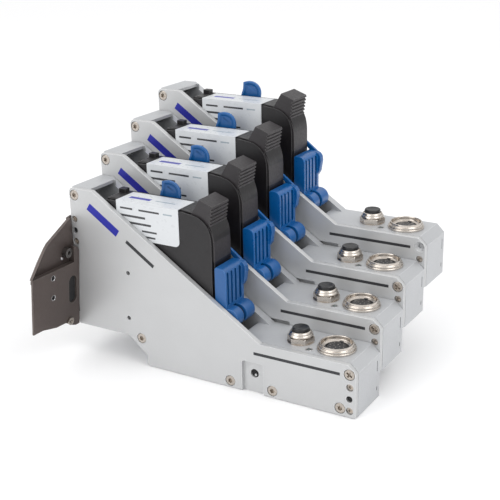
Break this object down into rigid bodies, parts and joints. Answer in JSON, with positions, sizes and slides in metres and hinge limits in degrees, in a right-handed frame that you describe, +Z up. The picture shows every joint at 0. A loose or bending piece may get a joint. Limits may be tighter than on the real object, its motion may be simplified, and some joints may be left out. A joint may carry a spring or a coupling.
{
  "type": "date code inkjet print head",
  "caption": "Stack of stepped inkjet cartridge modules with latches, buttons and cable sockets, for printing dates on packs.",
  "frame": {"origin": "centre of the bounding box at its lowest level, which is the underside of the first module", "axes": "+X from the print face to the cable sockets, +Y across the stack from the first module to the last, +Z up"},
  "size_m": [0.1736, 0.152, 0.1379],
  "materials": {
    "casing": "fine bead blasted and clear anodised",
    "ink_case": "moulded, light texture",
    "label": "printed film",
    "blue": "moulded, satin gloss",
    "nickel": "nickel plated",
    "black": "moulded",
    "board": "solder mask",
    "gold": "satin plated",
    "steel": "turned",
    "lens": "clear tinted",
    "bronze": "dark bronze anodised"
  },
  "bodies": {
    "frame": {"side_plate_1": "casing", "housing_1": "casing", "latch_pin_1": "steel", "contact_block_1": "black", "button_bushing_1": "nickel", "connector_shell_1": "nickel", "connector_insert_1": "black", "status_led_1": "lens", "circuit_board_1": "board", "side_plate_2": "casing", "housing_2": "casing", "latch_pin_2": "steel", "contact_block_2": "black", "button_bushing_2": "nickel", "connector_shell_2": "nickel", "connector_insert_2": "black", "status_led_2": "lens", "circuit_board_2": "board", "side_plate_3": "casing", "housing_3": "casing", "latch_pin_3": "steel", "contact_block_3": "black", "button_bushing_3": "nickel", "connector_shell_3": "nickel", "connector_insert_3": "black", "status_led_3": "lens", "circuit_board_3": "board", "side_plate_4": "casing", "housing_4": "casing", "latch_pin_4": "steel", "contact_block_4": "black", "button_bushing_4": "nickel", "connector_shell_4": "nickel", "connector_insert_4": "black", "status_led_4": "lens", "circuit_board_4": "board", "nose_bracket": "bronze", "bracket_screw_upper": "steel", "bracket_screw_lower": "steel"},
    "ink_cartridge_1": {"cartridge_1": "ink_case", "nozzle_plate_1": "gold", "cartridge_label_1": "label"},
    "latch_1": {"latch_lever_1": "blue"},
    "button_1": {"button_cap_1": "black"},
    "ink_cartridge_2": {"cartridge_2": "ink_case", "nozzle_plate_2": "gold", "cartridge_label_2": "label"},
    "latch_2": {"latch_lever_2": "blue"},
    "button_2": {"button_cap_2": "black"},
    "ink_cartridge_3": {"cartridge_3": "ink_case", "nozzle_plate_3": "gold", "cartridge_label_3": "label"},
    "latch_3": {"latch_lever_3": "blue"},
    "button_3": {"button_cap_3": "black"},
    "ink_cartridge_4": {"cartridge_4": "ink_case", "nozzle_plate_4": "gold", "cartridge_label_4": "label"},
    "latch_4": {"latch_lever_4": "blue"},
    "button_4": {"button_cap_4": "black"}
  },
  "joints": [
    {"name": "cartridge_slide_1", "type": "slide", "parent": "frame", "child": "ink_cartridge_1", "axis": [0.25, 0, 0.9682], "range_m": [0, 0.075]},
    {"name": "latch_hinge_1", "type": "hinge", "parent": "frame", "child": "latch_1", "pos_m": [0.01342, -0.02385, 0.0369], "axis": [0, 1, 0], "range_deg": [0, 76]},
    {"name": "button_press_1", "type": "slide", "parent": "frame", "child": "button_1", "axis": [0, 0, -1], "range_m": [0, 0.0015], "stiffness_N_per_m": 300},
    {"name": "cartridge_slide_2", "type": "slide", "parent": "frame", "child": "ink_cartridge_2", "axis": [0.25, 0, 0.9682], "range_m": [0, 0.075]},
    {"name": "latch_hinge_2", "type": "hinge", "parent": "frame", "child": "latch_2", "pos_m": [0.01342, 0.00475, 0.0496], "axis": [0, 1, 0], "range_deg": [0, 76]},
    {"name": "button_press_2", "type": "slide", "parent": "frame", "child": "button_2", "axis": [0, 0, -1], "range_m": [0, 0.0015], "stiffness_N_per_m": 300},
    {"name": "cartridge_slide_3", "type": "slide", "parent": "frame", "child": "ink_cartridge_3", "axis": [0.25, 0, 0.9682], "range_m": [0, 0.075]},
    {"name": "latch_hinge_3", "type": "hinge", "parent": "frame", "child": "latch_3", "pos_m": [0.01342, 0.03335, 0.0623], "axis": [0, 1, 0], "range_deg": [0, 76]},
    {"name": "button_press_3", "type": "slide", "parent": "frame", "child": "button_3", "axis": [0, 0, -1], "range_m": [0, 0.0015], "stiffness_N_per_m": 300},
    {"name": "cartridge_slide_4", "type": "slide", "parent": "frame", "child": "ink_cartridge_4", "axis": [0.25, 0, 0.9682], "range_m": [0, 0.075]},
    {"name": "latch_hinge_4", "type": "hinge", "parent": "frame", "child": "latch_4", "pos_m": [0.01342, 0.06195, 0.075], "axis": [0, 1, 0], "range_deg": [0, 76]},
    {"name": "button_press_4", "type": "slide", "parent": "frame", "child": "button_4", "axis": [0, 0, -1], "range_m": [0, 0.0015], "stiffness_N_per_m": 300}
  ],
  "couplings": [
    {"joint": "latch_hinge_1", "follows": "cartridge_slide_1", "rad_per_m": 17.45},
    {"joint": "latch_hinge_2", "follows": "cartridge_slide_2", "rad_per_m": 17.45},
    {"joint": "latch_hinge_3", "follows": "cartridge_slide_3", "rad_per_m": 17.45},
    {"joint": "latch_hinge_4", "follows": "cartridge_slide_4", "rad_per_m": 17.45}
  ]
}
